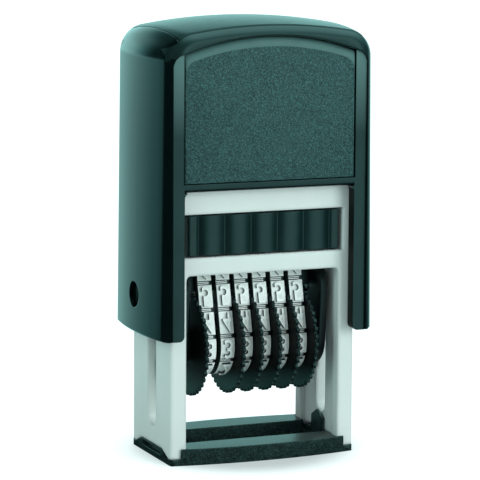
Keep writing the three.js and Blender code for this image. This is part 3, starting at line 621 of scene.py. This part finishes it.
shell = capBody("capShell")
pairs = (faceRecess, panelPocket, ledgeEdge)  # each is cut in front and behind
carve(shell, [
    cavity(), springWell(), legWindow(), *[cut(side) for cut in pairs for side in (-1, 1)], coverRegion(0), pinBore(),
])
dress(shell, "capShell", glossAbs, "cap", "cap_plastic", "cap_shell")
keepSharp(shell, cap["sharp"])
work = bmesh.new()
work.from_mesh(shell.data)
for side in (-1, 1):  # the mesh is parted where the lip over the panel ends, round the corners
    for point, across in (
        ((side * cap["lipInner"], 0, 0), (1, 0, 0)),
        ((side * cap["lipEnd"], 0, 0), (1, 0, 0)),
        ((0, side * cap["lipBack"], 0), (0, 1, 0)),
        ((side * cap["lipInner"], 0, cap["lipTop"]), (side * cap["lipFall"], 0, 1)),
    ):
        whole = work.verts[:] + work.edges[:] + work.faces[:]
        bmesh.ops.bisect_plane(work, geom=whole, plane_co=Vector(point) * mm, plane_no=across)
work.to_mesh(shell.data)
work.free()
for finish in (satinAbs, lipAbs, coredAbs):
    shell.data.materials.append(finish)


def shellFinish(face):  # 0 is gloss, 1 satin with a painted sheen, 2 the lip's half gloss with a painted sheen, 3 the dull inside
    x, y, z = (abs(c) / mm for c in face.center)
    if abs(face.normal.y) > cap["flat"] and abs(y - cap["face"]) < near:  # the flat of the recess
        return 1
    if abs(face.normal.x) > facing and face.normal.x * face.center.x < 0 and y < cap["face"]:  # the inner flanks
        return 3
    if z > cap["lipLow"] - x ** 2 / (2 * cap["recessArch"]):  # higher than the recess
        overPanel = y > cap["face"] and x < cap["lipInner"]
        belowFall = z < cap["lipTop"] - cap["lipFall"] * (x - cap["lipInner"])
        roundCorner = y > cap["lipBack"] and cap["lipInner"] < x < cap["lipEnd"] and belowFall
        if overPanel or roundCorner:
            return 2
    return 0


for face in shell.data.polygons:
    face.material_index = shellFinish(face)

cover = capBody("topCover")
carve(cover, [coverRegion(cap["seam"])], "INTERSECT")
dress(cover, "topCover", paintedSheenAbs, "cap", "cover_plastic", "top_cover")
keepSharp(cover, cap["sharp"])
print("cap and cover cut")


panel = {
    "half": 15.75, "low": 49.25, "top": 73.95, "crown": 72.3, "thick": 1.1, "bevel": 0.7, "edge": 0.25,
    "footEdge": 0.15, "backCorner": 0.3, "corner": 2.2, "slopeEnd": 67.4, "flat": 0.999, "sharp": 35,
}


def labelPanel(side):  # a bare plate; its square back edge slopes up to a face with rounded corners
    rings = [(side * (cap["face"] - panel["thick"]), 0), (side * (cap["face"] - panel["bevel"]), 0)]
    for turn in spread(0, math.pi / 2, cap["roundSteps"])[1:]:
        rings.append((side * (cap["face"] - panel["bevel"] * (1 - math.sin(turn))), 1 - math.cos(turn)))
    made = []
    for y, t in rings:
        half = panel["half"] - panel["edge"] * t
        low = panel["low"] + panel["footEdge"] * t
        top = panel["top"] + (panel["crown"] - panel["top"]) * t
        corner = panel["backCorner"] + (panel["corner"] - panel["backCorner"]) * t
        made.append((y, archedOutline(half, low, top, cap["recessArch"], corner)))
    return lofted("panel", made)


for side, name, node in ((-1, "frontPanel", "front_panel"), (1, "rearPanel", "rear_panel")):
    plate = dress(labelPanel(side), name, sparkedAbs, "cap", "panel_plastic", node)
    keepSharp(plate, panel["sharp"])
    plate.data.materials.append(bevelAbs)
    for face in plate.data.polygons:  # the slope along the top and round its corners is smooth, with the painted highlight
        sloping = abs(face.normal.y) < panel["flat"]
        face.material_index = 1 if sloping and face.center.z > panel["slopeEnd"] * mm else 0
print("panels set in")


# these mouldings keep the shape of their CAD nodes, with edges eased by this much
eased = {
    "stand": 0.16, "foot": 0.14, "cassette": 0.1, "cheek": 0.12, "pin": 0.1,
    "bridge": 0.1, "spacer": 0.06, "shaft": 0.15, "wheel": 0.05,
}
track = {"floor": 15.8, "shown": 15.55}  # drawn shallower, so that no light falls through it and the slot
stand = moulded("stand_frame", "standFrame", paleAbs, "frame", "frame_plastic", eased["stand"])
for v in stand.data.vertices:
    if abs(abs(v.co.x) - track["floor"] * mm) < near * mm:
        v.co.x = math.copysign(track["shown"] * mm, v.co.x)
moulded("base_foot", "baseFoot", footAbs, "frame", "foot_plastic", eased["foot"])
moulded("pad_cassette", "padCassette", cassettePp, "cassette", "cassette_plastic", eased["cassette"])
for hand in ("left", "right"):
    moulded(hand + "_cheek", hand + "Cheek", blackPom, "carrier", "carrier_plastic", eased["cheek"])
    moulded(hand + "_pivot_pin", hand + "PivotPin", blackPom, "cap", "carrier_plastic", eased["pin"])
moulded("band_bridge", "bandBridge", blackPom, "carrier", "carrier_plastic", eased["bridge"])
moulded("band_spacer", "bandSpacer", blackPom, "carrier", "carrier_plastic", eased["spacer"])
moulded("setting_shaft", "settingShaft", groundSteel, "carrier", "shaft_steel", eased["shaft"])
for number in range(1, bandCount + 1):
    node, body = "thumb_wheel_%d" % number, "wheel_%d" % number
    wheel = moulded(node, "thumbWheel%d" % number, wheelPom, body, "wheel_plastic", eased["wheel"])
    wheel.data.materials.append(inkAndShadePom)
    for face in wheel.data.polygons:  # the flat faces hold ink and the painted shade
        face.material_index = 1 if abs(face.normal.x) > facing else 0
print("mouldings eased")


# a number band is a rubber loop with raised figures, which the front shows upside down
band = {
    "pitch": 3.44, "width": 2.54, "thick": 1.9, "radius": 6.2, "topHalf": 2.3, "printZ": 36.2, "shaftZ": 19.5,
    "strapSteps": 160, "cell": 3.95, "cellSteps": 6, "cellHeight": 0.95, "cornerGap": 1.3, "frontCells": 6,
    "bite": 0.05, "rib": 0.15, "ribApart": 0.286, "ribDepth": 0.5, "notch": 0.5, "sharp": 30, "flank": 0.3,
}
figure = {"width": 1.55, "height": 3.45, "slim": 0.6, "raised": 0.5, "curveSteps": 5, "swell": 0.012, "wall": 0.5}
figures = ["7", "6", "5", "4", "3", "2", "1", "0", "", "", "9", "8"]  # from the print face down the front


def loopPath(radius, topHalf, topZ):
    rise = topZ - band["shaftZ"]
    reach = math.hypot(topHalf, rise)
    straight = math.sqrt(reach ** 2 - radius ** 2)
    touch = math.atan2(topHalf, rise) + math.acos(radius / reach)
    length = topHalf + straight + radius * (math.pi - touch)

    def at(distance, inset=0):  # (y, z) of a point that far along the loop and that deep under it
        distance = (distance + length) % (2 * length) - length
        side = -1 if distance >= 0 else 1
        along = abs(distance)
        arm = radius - inset
        past = along - topHalf - straight
        if along <= topHalf:
            return side * along, topZ - inset
        if past <= 0:
            y = arm * math.sin(touch) + past * math.cos(touch)
            return side * y, band["shaftZ"] + arm * math.cos(touch) - past * math.sin(touch)
        angle = touch + past / radius
        return side * arm * math.sin(angle), band["shaftZ"] + arm * math.cos(angle)

    return at, length


outerAt, outerLength = loopPath(band["radius"], band["topHalf"], band["printZ"])
firstCell = band["topHalf"] + band["cornerGap"] + band["cell"] / 2
cellPitch = (outerLength - firstCell) / (band["frontCells"] - 1)
frontCells = [0] + [firstCell + cellPitch * i for i in range(band["frontCells"])]
cells = frontCells + [2 * outerLength - s for s in frontCells[-2:0:-1]]


def section(work, s, corners):  # a cross-section at that distance, from four corners (x, inset)
    ring = []
    for x, inset in corners:
        y, z = outerAt(s, inset)
        ring.append(work.verts.new((x * mm, y * mm, z * mm)))
    return ring


def wallsBetween(work, a, b):
    return [work.faces.new((a[k], a[(k + 1) % 4], b[(k + 1) % 4], b[k])) for k in range(4)]


def addBlock(work, x0, x1, s0, s1, deep, shallow, steps=1):  # a block that follows the loop
    corners = ((x0, deep), (x0, shallow), (x1, shallow), (x1, deep))
    rows = [section(work, s, corners) for s in spread(s0, s1, steps)]
    for a, b in zip(rows, rows[1:]):
        wallsBetween(work, a, b)
    for end in (rows[0], rows[-1]):  # the ends of a block hold ink and painted shade, as the gaps do
        work.faces.new(end).material_index = 1


def addFigure(work, text, x, s):
    letter = bpy.data.curves.new("figure", "FONT")
    letter.body = text
    letter.resolution_u = figure["curveSteps"]
    letter.offset = figure["swell"]
    letter.extrude = 0.5  # only tells top from bottom: the height comes from the band
    holder = linked("figure", letter)
    bpy.context.view_layer.update()
    shape = bpy.data.meshes.new_from_object(holder.evaluated_get(bpy.context.evaluated_depsgraph_get()))
    xs = [v.co.x for v in shape.vertices]
    ys = [v.co.y for v in shape.vertices]
    width = figure["width"] * (figure["slim"] if text == "1" else 1)
    placed = []
    for v in shape.vertices:
        across = ((v.co.x - min(xs)) / (max(xs) - min(xs)) - 0.5) * width
        along = ((v.co.y - min(ys)) / (max(ys) - min(ys)) - 0.5) * figure["height"]
        y, z = outerAt(s + along, 0 if v.co.z > 0 else figure["raised"] + band["bite"])
        placed.append(work.verts.new(((x + across) * mm, y * mm, z * mm)))
    for face in shape.polygons:
        part = work.faces.new([placed[i] for i in face.vertices])
        part.material_index = 1 if abs(face.normal.z) < figure["wall"] else 0  # the walls of a figure hold ink and painted shade
    bpy.data.objects.remove(holder)
    bpy.data.meshes.remove(shape)


def numberBand(number):
    x = (number - (bandCount + 1) / 2) * band["pitch"]
    x0, x1 = x - band["width"] / 2, x + band["width"] / 2
    work = bmesh.new()
    floor = band["cellHeight"]
    corners = ((x0, band["thick"]), (x0, floor), (x1, floor), (x1, band["thick"]))
    steps = band["strapSteps"]
    rows = [section(work, 2 * outerLength * i / steps, corners) for i in range(steps)]
    for a, b in zip(rows, rows[1:] + rows[:1]):  # the strap itself, one closed loop
        wallsBetween(work, a, b)[1].material_index = 1  # ink and painted shade stay in the gaps between the cells
    half = band["cell"] / 2
    deep = floor + band["bite"]
    for s, text in zip(cells, figures):
        addBlock(work, x0, x1, s - half, s + half, deep, figure["raised"], band["cellSteps"])
        if text:
            addFigure(work, text, x, s)
    around = cells + [2 * outerLength]
    for a, b in zip(around, around[1:]):  # two ribs in each gap, which stop short of the right edge
        for shift in (-band["ribApart"] / 2, band["ribApart"] / 2):
            start = (a + b) / 2 + shift - band["rib"] / 2
            addBlock(work, x0, x1 - band["notch"], start, start + band["rib"], deep, band["ribDepth"])
    bmesh.ops.recalc_face_normals(work, faces=work.faces)
    piece = builtObject("band", work)
    inkAndShade = [face.material_index for face in piece.data.polygons]
    dress(piece, "numberBand%d" % number, paleRubber, "carrier", "band_rubber", "number_band_%d" % number)
    keepSharp(piece, band["sharp"])
    piece.data.materials.append(inkAndShadeRubber)
    for face, ink in zip(piece.data.polygons, inkAndShade):  # the flanks hold ink and painted shade too
        face.material_index = 1 if ink or abs(face.normal.x) > band["flank"] else 0


for number in range(1, bandCount + 1):
    numberBand(number)
print("bands figured")


# the return spring and the felt pad are both hidden at rest
spring = {
    "radius": 4.2, "wire": 0.35, "low": 44.7, "high": 72.2, "pressed": 5.9, "turns": 7, "perTurn": 20, "sides": 8,
}


def coil():
    points, faces = [], []
    count = spring["turns"] * spring["perTurn"]
    sides = spring["sides"]
    low, high = spring["low"] + spring["wire"], spring["high"] - spring["wire"]
    for i in range(count + 1):
        angle = 2 * math.pi * i / spring["perTurn"]
        z = low + (high - low) * i / count
        for k in range(sides):
            side = 2 * math.pi * k / sides
            arm = spring["radius"] + spring["wire"] * math.cos(side)
            points.append((arm * math.cos(angle), arm * math.sin(angle), z + spring["wire"] * math.sin(side)))
    for i in range(count):
        for k in range(sides):
            a, b = i * sides + k, i * sides + (k + 1) % sides
            faces.append((a, b, b + sides, a + sides))
    faces.append(list(range(sides)))
    faces.append(list(range(count * sides, (count + 1) * sides)))
    return newObject("coil", points, faces)


wire = dress(coil(), "returnSpring", springSteel, "frame", "spring_steel", "return_spring")
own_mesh(wire)

pad = {"x": 12, "y": 6, "low": 36.5, "high": 39.1, "corner": 1.2, "cuts": 11, "fuzz": 0.06, "perFuzz": 1.7}


def feltPad():
    work = bmesh.new()
    bmesh.ops.create_cube(work, size=2)
    bmesh.ops.subdivide_edges(work, edges=work.edges, cuts=pad["cuts"], use_grid_fill=True)
    low, high, corner = pad["low"], pad["high"], pad["corner"]
    for v in work.verts:
        x, y = v.co.x * pad["x"], v.co.y * pad["y"]
        over = Vector((max(0, abs(x) - pad["x"] + corner), max(0, abs(y) - pad["y"] + corner)))
        if over.length > corner:  # the four upright edges are rounded
            scale = corner / over.length
            x = math.copysign(pad["x"] - corner + over.x * scale, x)
            y = math.copysign(pad["y"] - corner + over.y * scale, y)
        z = (low + high) / 2 + v.co.z * (high - low) / 2
        lift = noise.noise(Vector((x, y, z)) * pad["perFuzz"]) * pad["fuzz"]
        inward = pad["fuzz"] - abs(lift)
        x, y = x * (1 - inward / pad["x"]), y * (1 - inward / pad["y"])
        v.co = Vector((x, y, z - math.copysign(inward, v.co.z))) * mm
    return builtObject("pad", work)


felt = dress(feltPad(), "inkPad", inkedFelt, "cassette", "ink_felt", "ink_pad")
print("spring and pad in place")


# glossy surfaces see a pale sheet behind the object, pale patches in front and above, and a dark room
stage = {
    "size": 8000, "floor": "#eef6f6", "lift": 0.5, "lifted": "#f0ffff",
    "liftFrom": 60, "liftTo": 500, "liftNear": 1.75, "liftFar": 1.95,
    "shade": 0.36, "shadeFrom": 13.5, "shadeTo": 24, "clearFrom": 24, "clearTo": 70,
    "sky": "#ffffff", "skyGlow": 0.6, "back": (0.383, 0.924, 0), "sheetFrom": 0.1, "sheetTo": 0.83,
    "sheetTop": 0.32, "sheetEnd": 0.5, "sheetLeft": 0.12, "sideFrom": 0.55, "sideTo": 0.8,
    "farGain": 1.8, "farFrom": 600, "farTo": 2500, "lowFrom": 0.15, "lowTo": 0.32,
    "front": (0.383, -0.924, 0), "patchFrom": 0.82, "patch": 0.9,
    "above": (0.379, -0.2, 0.904), "aboveFrom": 0.5, "aboveTo": 0.95, "aboveGain": 1.5,
    "mirror": {0: "#0a2424", 0.5: "#6ab5b3", 1: "#b3f7f3"},
}

floorMesh = bpy.data.meshes.new("floor")
reach = stage["size"] * mm / 2
corners = [(-reach, -reach, 0), (reach, -reach, 0), (reach, reach, 0), (-reach, reach, 0)]
floorMesh.from_pydata(corners, [], [range(4)])
floor = linked("floor", floorMesh)


def sheetLevel(tree, direction):  # how much of the pale sheet a glossy ray finds that way
    backward = addNode(
        tree,
        "ShaderNodeVectorMath",
        {"operation": "DOT_PRODUCT"},
        {1: stage["back"]},
        {0: direction},
    )
    level = addNode(
        tree,
        "ShaderNodeMapRange",
        values={"From Min": stage["sheetFrom"], "From Max": stage["sheetTo"]},
        links={"Value": backward.outputs["Value"]},
    )
    return level.outputs["Result"]


def roomLevel(tree, direction, sheet):  # the brighter of the sheet and the patch in front
    forward = addNode(
        tree,
        "ShaderNodeVectorMath",
        {"operation": "DOT_PRODUCT"},
        {1: stage["front"]},
        {0: direction},
    )
    patch = addNode(
        tree,
        "ShaderNodeMapRange",
        {"interpolation_type": "SMOOTHSTEP"},
        {"From Min": stage["patchFrom"], "From Max": 1, "To Max": stage["patch"]},
        {"Value": forward.outputs["Value"]},
    )
    brighter = addNode(
        tree,
        "ShaderNodeMath",
        {"operation": "MAXIMUM"},
        links={0: sheet, 1: patch.outputs["Result"]},
    )
    return brighter.outputs[0]


floorPaint, tree = newMaterial("floorPaint")
rays = addNode(tree, "ShaderNodeLightPath")
place = addNode(tree, "ShaderNodeTexCoord").outputs["Object"]
away = addNode(tree, "ShaderNodeVectorMath", {"operation": "LENGTH"}, links={0: place}).outputs["Value"]
lift = addNode(
    tree,
    "ShaderNodeMapRange",
    {"interpolation_type": "SMOOTHSTEP"},
    {
        "From Min": stage["liftFrom"] * mm, "From Max": stage["liftTo"] * mm,
        "To Min": stage["liftNear"], "To Max": stage["liftFar"],
    },
    {"Value": away},
)
shade = addNode(  # a painted shadow of the object on the floor round its foot
    tree,
    "ShaderNodeMapRange",
    {"interpolation_type": "SMOOTHSTEP"},
    {"From Min": stage["shadeFrom"] * mm, "From Max": stage["shadeTo"] * mm, "To Min": stage["shade"]},
    {"Value": away},
)
power = addNode(
    tree,
    "ShaderNodeMath",
    {"operation": "MULTIPLY"},
    links={0: lift.outputs["Result"], 1: shade.outputs["Result"]},
)
matt = addNode(tree, "ShaderNodeBsdfDiffuse", values={"Color": linear(stage["floor"])})
glow = addNode(
    tree,
    "ShaderNodeEmission",
    values={"Color": linear(stage["lifted"])},
    links={"Strength": power.outputs[0]},
)
share = addNode(
    tree,
    "ShaderNodeMath",
    {"operation": "MULTIPLY"},
    {1: stage["lift"]},
    {0: rays.outputs["Is Camera Ray"]},
)
lit = addNode(
    tree,
    "ShaderNodeMixShader",
    links={0: share.outputs[0], 1: matt.outputs["BSDF"], 2: glow.outputs["Emission"]},
)
outward = addNode(tree, "ShaderNodeVectorMath", {"operation": "NORMALIZE"}, links={0: place}).outputs["Vector"]
clear = addNode(  # close to the object the floor's reflection is painted dark: painted shade
    tree,
    "ShaderNodeMapRange",
    {"interpolation_type": "SMOOTHSTEP"},
    {"From Min": stage["clearFrom"] * mm, "From Max": stage["clearTo"] * mm},
    {"Value": away},
)
room = roomLevel(tree, outward, sheetLevel(tree, outward))
level = addNode(tree, "ShaderNodeMath", {"operation": "MULTIPLY"}, links={0: room, 1: clear.outputs["Result"]})
far = addNode(  # the sheet is brightest near the horizon
    tree,
    "ShaderNodeMapRange",
    values={
        "From Min": stage["farFrom"] * mm, "From Max": stage["farTo"] * mm,
        "To Min": 1, "To Max": stage["farGain"],
    },
    links={"Value": away},
)
tone = addNode(tree, "ShaderNodeValToRGB", links={"Fac": level.outputs[0]}, stops=stage["mirror"])
sheen = addNode(
    tree,
    "ShaderNodeEmission",
    links={"Color": tone.outputs["Color"], "Strength": far.outputs["Result"]},
)
blend = addNode(
    tree,
    "ShaderNodeMixShader",
    links={0: rays.outputs["Is Glossy Ray"], 1: lit.outputs[0], 2: sheen.outputs["Emission"]},
)
addNode(tree, "ShaderNodeOutputMaterial", links={"Surface": blend.outputs["Shader"]})
floor.data.materials.append(floorPaint)

world = bpy.data.worlds.new("studio")
bpy.context.scene.world = world
world.use_nodes = True
tree = world.node_tree
tree.nodes.clear()
rays = addNode(tree, "ShaderNodeLightPath")
direction = addNode(tree, "ShaderNodeTexCoord").outputs["Generated"]
flat = addNode(tree, "ShaderNodeVectorMath", {"operation": "MULTIPLY"}, {1: (1, 1, 0)}, {0: direction})
heading = addNode(tree, "ShaderNodeVectorMath", {"operation": "NORMALIZE"}, links={0: flat.outputs["Vector"]})
sideways = addNode(
    tree,
    "ShaderNodeVectorMath",
    {"operation": "DOT_PRODUCT"},
    {1: stage["back"]},
    {0: heading.outputs["Vector"]},
)
width = addNode(  # the sheet ends to the left and right
    tree,
    "ShaderNodeMapRange",
    {"interpolation_type": "SMOOTHSTEP"},
    {"From Min": stage["sideFrom"], "From Max": stage["sideTo"]},
    {"Value": sideways.outputs["Value"]},
)
height = addNode(tree, "ShaderNodeSeparateXYZ", links={"Vector": direction}).outputs["Z"]
rise = addNode(  # it fades towards its top
    tree,
    "ShaderNodeMapRange",
    {"interpolation_type": "SMOOTHSTEP"},
    {"From Min": stage["sheetTop"], "From Max": stage["sheetEnd"], "To Min": 1, "To Max": stage["sheetLeft"]},
    {"Value": height},
)
narrowed = addNode(
    tree,
    "ShaderNodeMath",
    {"operation": "MULTIPLY"},
    links={0: sheetLevel(tree, direction), 1: width.outputs["Result"]},
)
sheet = addNode(
    tree,
    "ShaderNodeMath",
    {"operation": "MULTIPLY"},
    links={0: narrowed.outputs[0], 1: rise.outputs["Result"]},
)
upward = addNode(
    tree,
    "ShaderNodeVectorMath",
    {"operation": "DOT_PRODUCT"},
    {1: stage["above"]},
    {0: direction},
)
above = addNode(
    tree,
    "ShaderNodeMapRange",
    {"interpolation_type": "SMOOTHSTEP"},
    {"From Min": stage["aboveFrom"], "From Max": stage["aboveTo"]},
    {"Value": upward.outputs["Value"]},
)
room = roomLevel(tree, direction, sheet.outputs[0])
level = addNode(tree, "ShaderNodeMath", {"operation": "MAXIMUM"}, links={0: room, 1: above.outputs["Result"]})
horizon = addNode(
    tree,
    "ShaderNodeMapRange",
    values={"From Min": stage["lowFrom"], "From Max": stage["lowTo"], "To Min": stage["farGain"], "To Max": 1},
    links={"Value": height},
)
gain = addNode(
    tree,
    "ShaderNodeMath",
    {"operation": "MULTIPLY_ADD"},
    {1: stage["aboveGain"]},
    {0: above.outputs["Result"], 2: horizon.outputs["Result"]},
)
tone = addNode(tree, "ShaderNodeValToRGB", links={"Fac": level.outputs[0]}, stops=stage["mirror"])
mirror = addNode(
    tree,
    "ShaderNodeBackground",
    links={"Color": tone.outputs["Color"], "Strength": gain.outputs[0]},
)
ambient = addNode(
    tree,
    "ShaderNodeBackground",
    values={"Color": linear(stage["sky"]), "Strength": stage["skyGlow"]},
)
white = addNode(tree, "ShaderNodeBackground", values={"Color": (1, 1, 1, 1), "Strength": 1})
glossy = addNode(
    tree,
    "ShaderNodeMixShader",
    links={0: rays.outputs["Is Glossy Ray"], 1: ambient.outputs[0], 2: mirror.outputs[0]},
)
seen = addNode(
    tree,
    "ShaderNodeMixShader",
    links={0: rays.outputs["Is Camera Ray"], 1: glossy.outputs[0], 2: white.outputs[0]},
)
addNode(tree, "ShaderNodeOutputWorld", links={"Surface": seen.outputs[0]})

lamps = {
    "key": {"place": (380, -600, 215), "size": 380, "power": 2.85, "colour": (1, 1, 1)},
    "fill": {"place": (-620, -260, 300), "size": 420, "power": 1.4, "colour": (0.7, 1, 0.97)},
}
lampAim = Vector((0, 0, 0.035))  # metres
for name, lamp in lamps.items():
    light = bpy.data.lights.new(name, "AREA")
    light.size = lamp["size"] * mm
    light.energy = lamp["power"]
    light.color = lamp["colour"]
    holder = linked(name, light)
    holder.visible_glossy = False  # a diffuser hides the lamp from the gloss
    place = Vector(lamp["place"]) * mm
    ahead = (lampAim - place).to_track_quat("-Z", "Y")
    holder.matrix_world = Matrix.Translation(place) @ ahead.to_matrix().to_4x4()

bpy.context.scene.view_settings.view_transform = "Standard"
print("stage lit")
